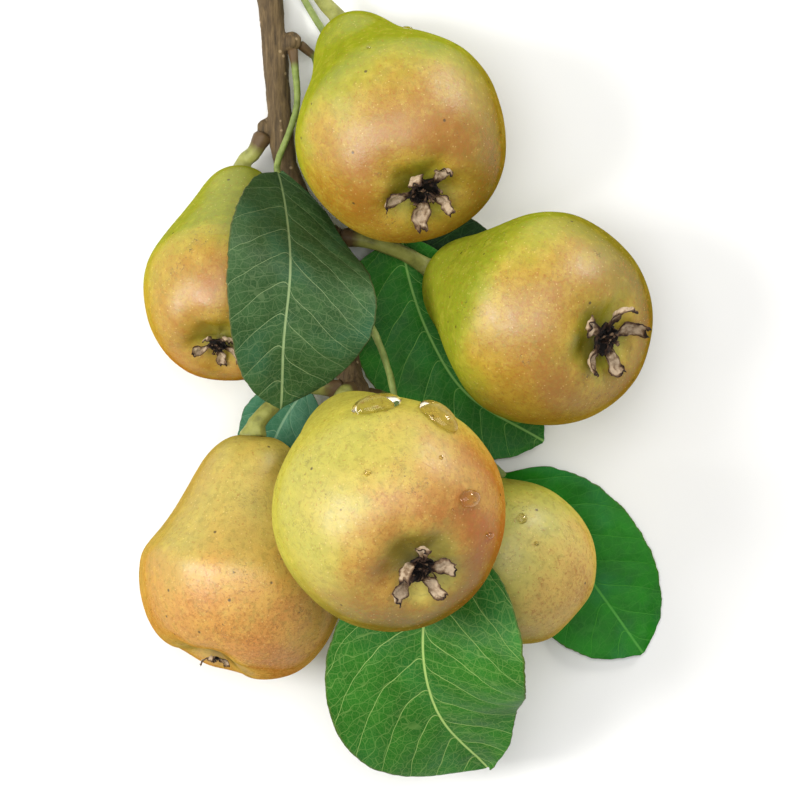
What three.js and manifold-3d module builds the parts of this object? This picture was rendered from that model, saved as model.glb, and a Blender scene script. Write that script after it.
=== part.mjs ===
// A cut fruiting branch of a pear tree, lying on a table: one woody twig with its short spurs, six pears with
// their stalks and dried calyces, and seven leaves with their stalks. Millimetres, +Z up. The cut end of the
// twig points along +Y, and the table is the plane z = 0.
import * as THREE from 'three';
import { mergeVertices } from 'three/addons/utils/BufferGeometryUtils.js';
import Module from 'manifold-3d';

// ---- driving dimensions ----
const GAP = 0.35; // clearance between pieces that grow out of each other
const TWIG_RADIUS = 3.3; // at the swollen tip; the cut end is a little thicker
const BLADE_THICKNESS = 0.5;
const BLADE_END = 1.5; // width of a blade where it starts and ends
const FRUIT_STALK_RADIUS = 2.2;
const LEAF_STALK_RADIUS = 0.95;
const BELLY_AT = 0.38; // the widest section of a pear, as a share of its length from the eye
const EYE_DEPTH = 0.055; // depth of the basin around the eye, as a share of the length
const CALYX_RADIUS = 0.13; // as a share of the pear's diameter
const SEPALS = 5;

const wasm = await Module();
wasm.setup();

const vector = (p) => new THREE.Vector3(...p);
const radians = THREE.MathUtils.degToRad;

// ---- materials ----
const material = (color, roughness) => new THREE.MeshStandardMaterial({ color, roughness, metalness: 0 });
const skin = material(0xc2ae4c, 0.42);
const bark = material(0x7a6248, 0.85);
const greenStalk = material(0x9aa55c, 0.6);
const leafGreen = material(0x2f6b2c, 0.5);
const driedSepal = material(0x6f5a48, 0.9);

// ---- the pieces' sizes and places ----

// The twig's centre line, from the cut end to the swollen tip.
const twigLine = [
  [-41, 139, 5.2], [-37.8, 116, 6], [-35.2, 87, 7], [-33.2, 68, 8], [-24, 46, 10], [-17.2, 24, 14],
  [-13.2, 2.5, 20.5],
];

// Spurs: each grows from a point inside the twig to a rounded head that carries stalks.
const spurs = {
  upper: { root: [-39, 127.5, 5.6], head: [-33.2, 129, 7], radius: 3.4 },
  second: { root: [-36.6, 101.5, 6.6], head: [-31.6, 104, 8], radius: 3 },
  left: { root: [-34.6, 81, 7.4], head: [-38.8, 79, 6.8], radius: 2.9 },
  middle: { root: [-26, 50.5, 9.6], head: [-19.6, 47.4, 13.4], radius: 3.4 },
  small: { root: [-18.6, 29, 13.2], head: [-15.6, 30.4, 17], radius: 2.2 },
  tip: { root: [-15, 8, 18.6], head: [-13.2, 2.5, 20.5], radius: 4.6 },
};

// Pears. heading is the direction from eye to stalk seen from above, and lean is how far the stalk end dips. turn
// and sweep are how much the neck bends away from these. shoulder and waist are radii as shares of the diameter.
const pears = [
  {
    name: 'pear_top', belly: [0.2, 75.3, 32], heading: 109, lean: 45, turn: 8, sweep: 16,
    diameter: 62, length: 67.5, shoulder: 0.435, waist: 0.25, spur: 'upper', via: [[-22, 115, 10.4], [-27.6, 124, 11]],
  },
  {
    name: 'pear_left', belly: [-48.8, 31.8, 25.4], heading: 80, lean: 46, turn: 5, sweep: 20,
    diameter: 50.5, length: 61, shoulder: 0.41, waist: 0.27, spur: 'left', via: [[-42.6, 71.5, 8.4]],
  },
  {
    name: 'pear_right', belly: [41.2, 23, 31.4], heading: 161, lean: 46, turn: -6, sweep: 14,
    diameter: 63, length: 64, shoulder: 0.43, waist: 0.27, spur: 'middle', via: [[1, 42.4, 12.6], [-9, 45.8, 15]],
  },
  {
    name: 'pear_lower_left', belly: [-44.6, -50.4, 30.8], heading: 70, lean: 13, turn: 15, sweep: 12,
    diameter: 62, length: 64.6, shoulder: 0.385, waist: 0.275, spur: 'tip',
    via: [[-36.5, -2, 28.8], [-30, 4, 26], [-22.5, 3.6, 22.6]],
  },
  {
    name: 'pear_front', belly: [-3.2, -30.5, 70.9], heading: 118, lean: 52.5, turn: 0, sweep: 3,
    diameter: 66, length: 72, shoulder: 0.42, waist: 0.27, spur: 'tip', via: [[-16, 2, 30.4]],
  },
  {
    name: 'pear_lower_right', belly: [31.4, -45.4, 25.5], heading: 146, lean: -30, turn: 0, sweep: -34,
    diameter: 47.6, length: 55, shoulder: 0.41, waist: 0.27, spur: 'tip', via: [[0.5, -14, 20], [-5, -3, 20.5]],
  },
];

// Leaves. midrib runs from the blade's base to its tip, the faces are the way the upper side looks at the base and
// at the tip, and fold is how far each half rises from the flat. left and right are the two halves, seen from the
// base: greatest half width, the share of the length where that is, and the fullness of the outline, where a
// smaller number is blunter. via leads the stalk from its spur to the base.
const leaves = [
  {
    name: 'leaf_front', midrib: [[-35, 65.5, 17], [-32.6, 54, 31], [-31, 36, 48.2], [-33, 16, 50.4], [-33.6, -2.6, 42]],
    faceAtBase: [0.42, 0, 0.9], faceAtTip: [0.3, 0, 0.95], fold: 3, ripple: 0.9, waves: 1.5,
    left: [26, 0.62, 0.44], right: [18.5, 0.5, 0.6],
    spur: 'second', via: [[-30.4, 96, 10.4], [-30, 84, 12.6]],
  },
  {
    name: 'leaf_middle', midrib: [[0.4, 48, 7], [2.6, 36, 4.8], [8, 20, 3], [19, 2, 2.2], [42, -12, 1.3]],
    faceAtBase: [0.16, 0, 1], faceAtTip: [0.06, 0, 1], fold: 1, ripple: 0.5, waves: 1.5,
    left: [20, 0.5, 0.5], right: [22, 0.36, 0.5],
    spur: 'middle', via: [[-15.4, 48.6, 9.8], [-7, 53, 8.6]],
  },
  {
    name: 'leaf_shaded', midrib: [[-1, 46, 1], [14, 42.4, 0.32], [33, 36.4, 0.32]],
    faceAtBase: [0, 0, 1], faceAtTip: [0, 0, 1], fold: 0.5, ripple: 0.1, waves: 1,
    left: [13, 0.4, 0.6], right: [13, 0.4, 0.6],
    spur: 'second', via: [[-25.2, 101, 5.4], [-22.4, 84, 3.4], [-12, 55, 2.2]],
  },
  {
    name: 'leaf_bottom', midrib: [[6.8, -44, 38.8], [6.8, -55, 45.6], [6.4, -72, 44.2], [11.4, -89.4, 33], [25.4, -105.6, 16]],
    faceAtBase: [-0.22, 0, 1], faceAtTip: [-0.25, -0.3, 0.9], fold: 9, ripple: 1.4, waves: 2,
    left: [30.5, 0.39, 0.64], right: [29.5, 0.52, 0.62],
    spur: 'small', via: [[-12.5, 27.5, 20], [-7, 18.5, 25], [-1.5, 0, 31], [-3.5, -22, 33]],
  },
  {
    name: 'leaf_right', midrib: [[30, -22, 3.8], [45, -38.6, 0.8], [59, -57, 0.7], [71, -74, 1.4]],
    faceAtBase: [0, 0, 1], faceAtTip: [0, 0, 1], fold: 0.8, ripple: 0.4, waves: 1.5,
    left: [20.4, 0.5, 0.5], right: [21.4, 0.5, 0.45],
    spur: 'tip', via: [[-4, 1.4, 14.4], [11, -8.4, 10]],
  },
  {
    name: 'leaf_behind_stalk', midrib: [[-27, 4, 15], [-34.5, -7.5, 12.6], [-42, -27, 8.4]],
    faceAtBase: [0, 0, 1], faceAtTip: [0, 0.1, 1], fold: 8, ripple: 0.3, waves: 1,
    left: [11.5, 0.4, 0.6], right: [11.5, 0.4, 0.6],
    spur: 'tip', via: [[-18.6, 1, 14.4]],
  },
  {
    name: 'leaf_under_top_pear', midrib: [[-14, 96, 0.9], [0, 79, 0.4], [12, 61, 0.5]],
    faceAtBase: [0, 0, 1], faceAtTip: [0, 0, 1], fold: 0.3, ripple: 0, waves: 1,
    left: [13, 0.4, 0.6], right: [13, 0.4, 0.6],
    spur: 'upper', via: [[-30.6, 121.6, 3.2], [-22, 107, 2.2]],
  },
];

// ---- shapes ----

// Bends a turned shape that stands along +Y from 0 to height, so that its axis follows the curve.
function bendAlong(geometry, height, curve) {
  const steps = 60;
  const frames = curve.computeFrenetFrames(steps);
  const position = geometry.getAttribute('position');
  for (let i = 0; i < position.count; i++) {
    const along = THREE.MathUtils.clamp(position.getY(i) / height, 0, 1);
    const frame = Math.round(along * steps);
    const point = curve
      .getPointAt(along)
      .addScaledVector(frames.binormals[frame], position.getX(i))
      .addScaledVector(frames.normals[frame], position.getZ(i));
    position.setXYZ(i, point.x, point.y, point.z);
  }
  return geometry;
}

// A round rod along a curve. radiusAt gives its radius at a share of its length from the start.
function rod(curve, radiusAt, rings, sides) {
  const height = curve.getLength();
  const profile = [new THREE.Vector2(0, 0)];
  for (let i = 0; i <= rings; i++) profile.push(new THREE.Vector2(radiusAt(i / rings), (height * i) / rings));
  profile.push(new THREE.Vector2(0, height));
  return bendAlong(new THREE.LatheGeometry(profile, sides), height, curve);
}

const direction = (heading, lean) =>
  new THREE.Vector3(
    Math.cos(radians(heading)) * Math.cos(radians(lean)),
    Math.sin(radians(heading)) * Math.cos(radians(lean)),
    -Math.sin(radians(lean)),
  );

// A pear's core line, from the eye through the middle of the belly to the top of the neck.
function pearAxis({ belly, heading, lean, turn, sweep, length }) {
  const middle = vector(belly);
  const eye = middle.clone().addScaledVector(direction(heading, lean), -BELLY_AT * length);
  const top = middle.clone().addScaledVector(direction(heading + turn, lean - sweep), (1 - BELLY_AT) * length);
  return new THREE.CatmullRomCurve3([eye, middle, top]);
}

function pearFruit(pear) {
  const { diameter, length, shoulder, waist } = pear;
  const rim = [
    [0, EYE_DEPTH], [0.11, 0.035], [0.22, 0], [0.4, 0.1], [0.5, BELLY_AT], [shoulder, 0.6],
    [waist, 0.8], [waist * 0.7, 0.935], [0.085, 1], [0, 0.985],
  ];
  const outline = new THREE.SplineCurve(rim.map(([r, y]) => new THREE.Vector2(r * diameter, y * length)));
  const profile = outline.getPoints(15);
  profile[0].x = 0;
  profile[profile.length - 1].x = 0;
  return bendAlong(new THREE.LatheGeometry(profile, 18), length, pearAxis(pear));
}

// The dried calyx: a shallow five-pointed crown that stands in the basin around the eye.
function pearCalyx(pear) {
  const depth = EYE_DEPTH * pear.length;
  const reach = CALYX_RADIUS * pear.diameter;
  const crown = [
    [0, depth - GAP], [2, depth - 0.9], [reach, -0.3], [reach, -1.3], [3, 0.2], [0, 0.8],
  ];
  const profile = crown.map(([r, y]) => new THREE.Vector2(r, y)).reverse();
  const geometry = new THREE.LatheGeometry(profile, SEPALS * 4);
  const axis = pearAxis(pear);
  const along = axis.getTangentAt(0);
  const upright = new THREE.Quaternion().setFromUnitVectors(new THREE.Vector3(0, 1, 0), along);
  const position = geometry.getAttribute('position');
  for (let i = 0; i < position.count; i++) {
    const x = position.getX(i);
    const z = position.getZ(i);
    const lobe = 0.76 + 0.24 * Math.cos(SEPALS * Math.atan2(z, x));
    position.setXYZ(i, x * lobe, position.getY(i), z * lobe);
  }
  return geometry.applyQuaternion(upright).translate(...axis.getPointAt(0).toArray());
}

// The start of a stalk: just off the spur's rounded head, on the side of the next point.
function offSpur(spur, next) {
  const { head, radius } = spurs[spur];
  const out = vector(next).sub(vector(head)).normalize();
  return vector(head).addScaledVector(out, radius + GAP);
}

function pearStalk(pear) {
  const axis = pearAxis(pear);
  const top = axis.getPointAt(1).addScaledVector(axis.getTangentAt(1), GAP);
  const neck = axis.getPointAt(1).addScaledVector(axis.getTangentAt(1), 4);
  const line = [top, neck, ...pear.via.map(vector), offSpur(pear.spur, pear.via.at(-1))];
  const swelling = (share) => FRUIT_STALK_RADIUS * (1 + 0.55 * Math.exp(-share * 8) + 0.15 * share ** 6);
  return rod(new THREE.CatmullRomCurve3(line), swelling, 9, 7);
}

// The width of one half of a blade at a share of its length from the base.
function halfWidth(along, [greatest, widestAt, fullness]) {
  const stretched = Math.min(along, 1) ** (Math.log(0.5) / Math.log(widestAt));
  return Math.max(greatest * Math.sin(Math.PI * stretched) ** fullness, BLADE_END / 2);
}

function leafBlade({ midrib, faceAtBase, faceAtTip, fold, ripple, waves, left, right }) {
  const rib = new THREE.CatmullRomCurve3(midrib.map(vector));
  const geometry = new THREE.BoxGeometry(2, 1, BLADE_THICKNESS, 6, 15, 1);
  const position = geometry.getAttribute('position');
  for (let i = 0; i < position.count; i++) {
    const across = position.getX(i);
    const along = position.getY(i) + 0.5;
    const tangent = rib.getTangentAt(along);
    const face = vector(faceAtBase).lerp(vector(faceAtTip), along).projectOnPlane(tangent).normalize();
    const side = new THREE.Vector3().crossVectors(tangent, face);
    const reach = across * halfWidth(along, across > 0 ? right : left);
    const margin = across ** 2 * ripple * Math.sin(2 * Math.PI * waves * along + (across > 0 ? 0 : 2));
    const lift = Math.abs(reach) * Math.sin(radians(fold)) + margin + position.getZ(i);
    const point = rib
      .getPointAt(along)
      .addScaledVector(side, reach * Math.cos(radians(fold)))
      .addScaledVector(face, lift);
    position.setXYZ(i, point.x, point.y, point.z);
  }
  return geometry;
}

function leafStalk({ midrib, spur, via }) {
  const base = new THREE.CatmullRomCurve3(midrib.map(vector));
  const end = base.getPointAt(0).addScaledVector(base.getTangentAt(0), -GAP);
  const lead = base.getPointAt(0).addScaledVector(base.getTangentAt(0), -4);
  const line = [offSpur(spur, via[0]), ...via.map(vector), lead, end];
  const swelling = (share) => LEAF_STALK_RADIUS * (1 + 0.5 * Math.exp(-share * 9));
  return rod(new THREE.CatmullRomCurve3(line), swelling, 12, 6);
}

// ---- the woody twig, one solid with its spurs ----

function toSolid(geometry) {
  geometry.deleteAttribute('normal');
  geometry.deleteAttribute('uv');
  const merged = mergeVertices(geometry, 1e-3);
  const vertProperties = merged.getAttribute('position').array;
  const triVerts = new Uint32Array(merged.index.array);
  return new wasm.Manifold(new wasm.Mesh({ numProp: 3, vertProperties, triVerts }));
}

function toGeometry(solid) {
  const { vertProperties, triVerts } = solid.getMesh();
  return new THREE.BufferGeometry()
    .setAttribute('position', new THREE.BufferAttribute(vertProperties, 3))
    .setIndex(new THREE.BufferAttribute(triVerts, 1));
}

function spurSolid({ root, head, radius }) {
  const out = vector(head).sub(vector(root)).normalize();
  const start = vector(root);
  const end = vector(head).addScaledVector(out, radius);
  const reach = start.distanceTo(end);
  const neck = radius * 0.75;
  const roundHead = (share) => {
    const fromHead = share * reach - (reach - radius);
    return Math.max(fromHead > -radius ? Math.sqrt(Math.max(radius ** 2 - fromHead ** 2, 0)) : 0, share < 0.6 ? neck : 0.4);
  };
  return toSolid(rod(new THREE.LineCurve3(start, end), roundHead, 8, 9));
}

function twigGeometry() {
  const curve = new THREE.CatmullRomCurve3(twigLine.map(vector));
  // Thicker towards the cut, swollen a little at each bud scar.
  const radiusAt = (share) => TWIG_RADIUS * (1.15 - 0.15 * share + 0.05 * Math.cos(2 * Math.PI * 7 * share));
  let wood = toSolid(rod(curve, radiusAt, 24, 10));
  for (const spur of Object.values(spurs)) wood = wood.add(spurSolid(spur));
  return toGeometry(wood);
}

// ---- assembly ----

const branch = new THREE.Group();

function addPiece(name, geometry, finish) {
  const mesh = new THREE.Mesh(geometry, finish);
  mesh.name = name;
  branch.add(mesh);
}

addPiece('twig', twigGeometry(), bark);
for (const pear of pears) {
  addPiece(pear.name, pearFruit(pear), skin);
  addPiece(`${pear.name}_stalk`, pearStalk(pear), greenStalk);
  addPiece(`${pear.name}_calyx`, pearCalyx(pear), driedSepal);
}
for (const leaf of leaves) {
  addPiece(`${leaf.name}_blade`, leafBlade(leaf), leafGreen);
  addPiece(`${leaf.name}_stalk`, leafStalk(leaf), greenStalk);
}

// The part's origin is the middle of its footprint, on the table.
const box = new THREE.Box3().setFromObject(branch, true);
const middle = box.getCenter(new THREE.Vector3());
branch.position.set(-middle.x, -middle.y, -box.min.z);

const part = new THREE.Group();
part.add(branch);

export default part;
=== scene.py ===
import math
import random

import bpy
import numpy as np
from mathutils import Matrix, Vector, noise


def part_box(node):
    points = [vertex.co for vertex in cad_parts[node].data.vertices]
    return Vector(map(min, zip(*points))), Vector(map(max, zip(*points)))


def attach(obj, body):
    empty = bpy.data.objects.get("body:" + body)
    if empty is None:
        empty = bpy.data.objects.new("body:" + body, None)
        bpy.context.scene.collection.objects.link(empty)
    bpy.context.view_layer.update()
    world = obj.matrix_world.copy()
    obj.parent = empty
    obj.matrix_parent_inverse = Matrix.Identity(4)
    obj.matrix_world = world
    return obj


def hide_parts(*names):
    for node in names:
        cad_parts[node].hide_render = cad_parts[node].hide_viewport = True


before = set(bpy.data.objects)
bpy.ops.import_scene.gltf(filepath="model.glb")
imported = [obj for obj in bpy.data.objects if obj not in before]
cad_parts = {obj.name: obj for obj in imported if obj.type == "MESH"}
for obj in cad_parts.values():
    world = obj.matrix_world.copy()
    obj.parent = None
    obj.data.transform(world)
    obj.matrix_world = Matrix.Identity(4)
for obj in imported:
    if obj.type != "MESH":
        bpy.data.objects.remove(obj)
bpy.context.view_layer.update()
mm = 0.001
clearance = 0.02  # millimetres between the table and the lowest point of any piece
print("frame loaded,", len(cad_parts), "nodes")


# small helpers for the whole script

def linear(hexColour):  # an sRGB hex colour as the linear colour that nodes and lights take
    channels = [int(hexColour[at:at + 2], 16) / 255 for at in (0, 2, 4)]
    return [c / 12.92 if c <= 0.04045 else ((c + 0.055) / 1.055) ** 2.4 for c in channels] + [1.0]


def newMaterial(name):
    material = bpy.data.materials.new(name)
    material.use_nodes = True
    material.node_tree.nodes.clear()
    return material


def addNode(material, kind, settings=None, links=None):  # one node, its settings and what feeds its sockets
    node = material.node_tree.nodes.new(kind)
    for name, value in (settings or {}).items():
        if name == "stops":  # a colour ramp, as (place, hex colour)
            for place, colour in value[1:-1]:
                node.color_ramp.elements.new(place).color = linear(colour)
            for end in (0, -1):
                node.color_ramp.elements[end].position = value[end][0]
                node.color_ramp.elements[end].color = linear(value[end][1])
        elif isinstance(name, int) or name in node.inputs:
            node.inputs[name].default_value = linear(value) if isinstance(value, str) else value
        else:
            setattr(node, name, value)
    for name, source in (links or {}).items():
        output = source.outputs[0] if isinstance(source, bpy.types.Node) else source
        material.node_tree.links.new(output, node.inputs[name])
    return node


def finishMaterial(material, settings, links):  # the Principled shader, plain values on its own sockets
    shader = addNode(material, "ShaderNodeBsdfPrincipled", settings, links)
    addNode(material, "ShaderNodeOutputMaterial", {}, {"Surface": shader})
    return material


def editAll(piece):  # piece alone selected, in edit mode, with all of its mesh selected
    if bpy.context.object and bpy.context.object.mode != "OBJECT":
        bpy.ops.object.mode_set(mode="OBJECT")
    bpy.ops.object.select_all(action="DESELECT")
    piece.select_set(True)
    bpy.context.view_layer.objects.active = piece
    bpy.ops.object.mode_set(mode="EDIT")
    bpy.ops.mesh.select_all(action="SELECT")


def startCopy(node, name):  # a CAD node's shape as a new piece, with its loose triangles merged
    piece = bpy.data.objects.new(name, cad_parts[node].data.copy())
    bpy.context.scene.collection.objects.link(piece)
    piece.data.materials.clear()
    editAll(piece)
    bpy.ops.mesh.customdata_custom_splitnormals_clear()
    bpy.ops.mesh.remove_doubles(threshold=0.01 * mm)
    bpy.ops.object.mode_set(mode="OBJECT")
    return piece


def applyModifier(piece, kind, settings):
    modifier = piece.modifiers.new(kind.title(), kind)
    for name, value in settings.items():
        setattr(modifier, name, value)
    bpy.context.view_layer.objects.active = piece
    bpy.ops.object.modifier_apply(modifier=modifier.name)


def points(piece):  # the mesh's points, in millimetres
    places = np.zeros(len(piece.data.vertices) * 3)
    piece.data.vertices.foreach_get("co", places)
    return places.reshape(-1, 3) / mm


def movePoints(piece, places):
    piece.data.vertices.foreach_set("co", (places * mm).ravel())
    piece.data.update()


def pointNormals(piece):
    normals = np.zeros(len(piece.data.vertices) * 3)
    piece.data.vertices.foreach_get("normal", normals)
    return normals.reshape(-1, 3)


def keepAttribute(piece, name, values):  # one number or one vector for each point
    kind, key = ("FLOAT", "value") if values.ndim == 1 else ("FLOAT_VECTOR", "vector")
    piece.data.attributes.new(name, kind, "POINT").data.foreach_set(key, values.ravel())


def smoothStep(value, low, high):
    share = np.clip((value - low) / (high - low), 0, 1)
    return share * share * (3 - 2 * share)


def grain(places, size, seed=0, stretch=(1, 1, 1)):  # soft noise from -1 to 1, with lumps of this size
    scaled = places / (np.array(stretch) * size) + seed * 17.3
    return np.array([noise.noise(Vector(place)) for place in scaled])


def endNear(node, other):  # where a rod-like node ends beside another node, and the way it points there
    own = np.unique(points(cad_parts[node]).round(3), axis=0)
    theirs = points(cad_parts[other])
    gaps = [np.min(np.linalg.norm(theirs - place, axis=1)) for place in own]
    nearest = own[np.argmin(gaps)]
    away = np.linalg.norm(own - nearest, axis=1)
    before = own[(away > 7) & (away < 16)].mean(axis=0)  # the middle of the stretch before the end
    reach = (own - before) @ (nearest - before) / np.linalg.norm(nearest - before)
    end = own[reach > reach[away < 9].max() - 1.5].mean(axis=0)  # the middle of the end itself
    return end, (end - before) / np.linalg.norm(end - before)


def finishPiece(piece, materials, slot, *nodes):  # materials, smooth shading, and nothing below the table
    for material in materials:
        piece.data.materials.append(material)
    places = points(piece)
    places[:, 2] = np.maximum(places[:, 2], clearance)
    movePoints(piece, places)
    bpy.ops.object.select_all(action="DESELECT")
    piece.select_set(True)
    bpy.context.view_layer.objects.active = piece
    bpy.ops.object.shade_smooth()
    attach(piece, "root")
    if nodes:
        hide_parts(*nodes)
    return piece


# camera: looks straight down at the branch, as it lies

cameraView = {"aim": (-1, -15.7), "height": 1045, "lens": 160.7}  # millimetres

acrossAim, alongAim = cameraView["aim"]
bpy.ops.object.camera_add(location=(acrossAim * mm, alongAim * mm, cameraView["height"] * mm))
camera = bpy.context.object
camera.rotation_euler = (0, 0, 0)
camera.data.lens = cameraView["lens"]
camera.data.sensor_width = 36
bpy.context.scene.camera = camera
print("camera set")


# pears: ripe, waxy skins with fine russet grain, greener towards the stalk

# colours: unripe, yellow, gold, sunburnt, and the olive of a painted shade on the side the lamps leave dark
# sunny: the direction of the sunburnt side, burn: how strong it is; the other direction and strength say
# where the painted shade lies and how dark it gets
# ripe: how ripe the belly is; neck: how much less ripe the stalk end is
pearLooks = {
    "pear_top": {
        "colours": ("8a921e", "a29b28", "b0902c", "a0701f", "766012"), "seed": 1,
        "ripe": 0.56, "neck": 0.7, "sunny": (0, -0.35, 0.85), "burn": 0.6,
        "paintedShadeWay": (0.95, -0.1, -0.2), "paintedShade": 0.85,
    },
    "pear_left": {
        "colours": ("90962c", "a6982e", "ae8a2e", "a66a24", "7c6618"), "seed": 2,
        "ripe": 0.58, "neck": 0.6, "sunny": (0.3, -0.6, 0.6), "burn": 0.5,
        "paintedShadeWay": (0.9, -0.4, -0.2), "paintedShade": 0.7,
    },
    "pear_right": {
        "colours": ("8d9622", "a49e2a", "b3932e", "a07424", "6c5e12"), "seed": 3,
        "ripe": 0.50, "neck": 0.55, "sunny": (0, -0.4, 0.8), "burn": 0.6,
        "paintedShadeWay": (0.9, 0.35, -0.2), "paintedShade": 0.9,
    },
    "pear_lower_left": {
        "colours": ("b09e48", "be9e48", "ca9a44", "c6843a", "a87634"), "seed": 4,
        "ripe": 0.50, "neck": 0.3, "sunny": (0.1, -0.6, 0.75), "burn": 0.5,
        "paintedShadeWay": (-0.9, -0.2, -0.1), "paintedShade": 0.5,
    },
    "pear_front": {
        "colours": ("afa744", "bba948", "be943c", "ad6224", "6e6018"), "seed": 5,
        "ripe": 0.55, "neck": 0.35, "sunny": (0.9, -0.35, 0.2), "burn": 0.8,
        "paintedShadeWay": (0.1, -0.95, -0.2), "paintedShade": 0.85,
    },
    "pear_lower_right": {
        "colours": ("a6a642", "bcae50", "c6a450", "ac8238", "80701f"), "seed": 6,
        "ripe": 0.40, "neck": 0.5, "sunny": (0.2, -0.3, 0.9), "burn": 0.55,
        "paintedShadeWay": (-0.5, -0.8, -0.2), "paintedShade": 0.6,
    },
}
pearShape = {"letOut": 0.45, "lumps": 0.55, "dimples": 0.18, "ribs": 0.5}  # millimetres


def pearSkinMaterial(name, look):  # waxy, slightly rough skin, freckled with corky pores and russet
    skin = newMaterial("waxy_pear_skin_" + name)
    grown = addNode(skin, "ShaderNodeAttribute", {"attribute_name": "grown"}).outputs["Vector"]  # mm
    ripeness = addNode(skin, "ShaderNodeAttribute", {"attribute_name": "ripeness"}).outputs["Fac"]
    cloudy = addNode(skin, "ShaderNodeTexNoise", {
        "Scale": 1 / 17, "Detail": 5, "Roughness": 0.62}, {"Vector": grown})
    patchy = addNode(skin, "ShaderNodeMath", {"operation": "MULTIPLY_ADD", 1: 0.9, 2: -0.45}, {0: cloudy})
    ripe = addNode(skin, "ShaderNodeMath", {"operation": "ADD"}, {0: patchy, 1: ripeness})
    green, yellow, gold, blush, paintedShade = look["colours"]
    sunned = addNode(skin, "ShaderNodeValToRGB", {
        "stops": [(0.12, green), (0.36, yellow), (0.56, gold), (0.86, blush)]}, {0: ripe})
    # painted shade: skin turned away from the lamps is mixed towards a darker olive
    shaded = addNode(skin, "ShaderNodeAttribute", {"attribute_name": "shaded"}).outputs["Fac"]
    ground = addNode(skin, "ShaderNodeMix", {"data_type": "RGBA", 7: paintedShade}, {0: shaded, 6: sunned})

    # faint streaks run from the stalk to the eye, over yellow dabs a few millimetres wide
    alongAxis = addNode(skin, "ShaderNodeMapping", {"Scale": (0.6, 0.6, 0.07)}, {"Vector": grown})
    streaks = addNode(skin, "ShaderNodeTexNoise", {
        "Scale": 1, "Detail": 4, "Roughness": 0.6}, {"Vector": alongAxis})
    mottle = addNode(skin, "ShaderNodeTexNoise", {
        "Scale": 1 / 3.4, "Detail": 5, "Roughness": 0.7}, {"Vector": grown})
    uneven = addNode(skin, "ShaderNodeMath", {"operation": "ADD"}, {0: streaks, 1: mottle})
    shade = addNode(skin, "ShaderNodeMapRange", {
        "From Min": 0.7, "From Max": 1.3, "To Min": 0.9, "To Max": 1.1}, {0: uneven})
    streaked = addNode(skin, "ShaderNodeVectorMath", {
        "operation": "SCALE"}, {0: ground.outputs[2], "Scale": shade})
    dab = addNode(skin, "ShaderNodeMapRange", {
        "From Min": 0.5, "From Max": 0.7, "To Max": 0.3}, {0: mottle})
    dabbed = addNode(skin, "ShaderNodeMix", {"data_type": "RGBA", 7: "c4b34c"}, {0: dab, 6: streaked})

    # a fine crackle of olive in the yellow, and russet grains that thicken where the skin is ripest
    crackle = addNode(skin, "ShaderNodeTexNoise", {
        "Scale": 1 / 1.8, "Detail": 5, "Roughness": 0.75, "Distortion": 0.7}, {"Vector": grown})
    olive = addNode(skin, "ShaderNodeMapRange", {
        "From Min": 0.5, "From Max": 0.64, "To Max": 0.42}, {0: crackle})
    crackled = addNode(skin, "ShaderNodeMix", {
        "data_type": "RGBA", 7: "857a2c"}, {0: olive, 6: dabbed.outputs[2]})
    grains = addNode(skin, "ShaderNodeTexNoise", {
        "Scale": 1 / 0.9, "Detail": 4, "Roughness": 0.8}, {"Vector": grown})
    thick = addNode(skin, "ShaderNodeMapRange", {
        "From Min": 0.4, "From Max": 0.95, "To Max": 0.15}, {0: ripe})
    level = addNode(skin, "ShaderNodeMath", {"operation": "ADD"}, {0: thick, 1: grains})
    russet = addNode(skin, "ShaderNodeMapRange", {
        "interpolation_type": "SMOOTHSTEP", "From Min": 0.57, "From Max": 0.68, "To Max": 0.7},
        {0: level})
    withRusset = addNode(skin, "ShaderNodeMix", {
        "data_type": "RGBA", 7: "a2681f"}, {0: russet, 6: crackled.outputs[2]})

    # pale pores about 1.6 mm apart, a few dark specks, and small corky scars in clusters
    pores = addNode(skin, "ShaderNodeTexVoronoi", {"Scale": 1 / 1.6}, {"Vector": grown})
    poreSpot = addNode(skin, "ShaderNodeMapRange", {
        "interpolation_type": "SMOOTHSTEP", "From Min": 0.06, "From Max": 0.17, "To Min": 0.5, "To Max": 0},
        {0: pores})
    withPores = addNode(skin, "ShaderNodeMix", {
        "data_type": "RGBA", 7: "dcc27a"}, {0: poreSpot, 6: withRusset.outputs[2]})
    specks = addNode(skin, "ShaderNodeTexVoronoi", {"Scale": 1 / 8}, {"Vector": grown})
    speckSpot = addNode(skin, "ShaderNodeMapRange", {
        "interpolation_type": "SMOOTHSTEP",
        "From Min": 0.035, "From Max": 0.075, "To Min": 0.85, "To Max": 0},
        {0: specks})
    bruised = addNode(skin, "ShaderNodeTexNoise", {"Scale": 1 / 11, "Detail": 1}, {"Vector": grown})
    cluster = addNode(skin, "ShaderNodeMapRange", {"From Min": 0.6, "From Max": 0.68}, {0: bruised})
    scars = addNode(skin, "ShaderNodeTexNoise", {
        "Scale": 1 / 1.1, "Detail": 3, "Roughness": 0.8, "Distortion": 1.5}, {"Vector": grown})
    scar = addNode(skin, "ShaderNodeMapRange", {
        "interpolation_type": "SMOOTHSTEP", "From Min": 0.58, "From Max": 0.66, "To Max": 0.8},
        {0: scars})
    scarred = addNode(skin, "ShaderNodeMath", {"operation": "MULTIPLY"}, {0: cluster, 1: scar})
    dark = addNode(skin, "ShaderNodeMath", {"operation": "MAXIMUM"}, {0: speckSpot, 1: scarred})
    withSpecks = addNode(skin, "ShaderNodeMix", {
        "data_type": "RGBA", 7: "4b3a1a"}, {0: dark, 6: withPores.outputs[2]})
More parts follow.
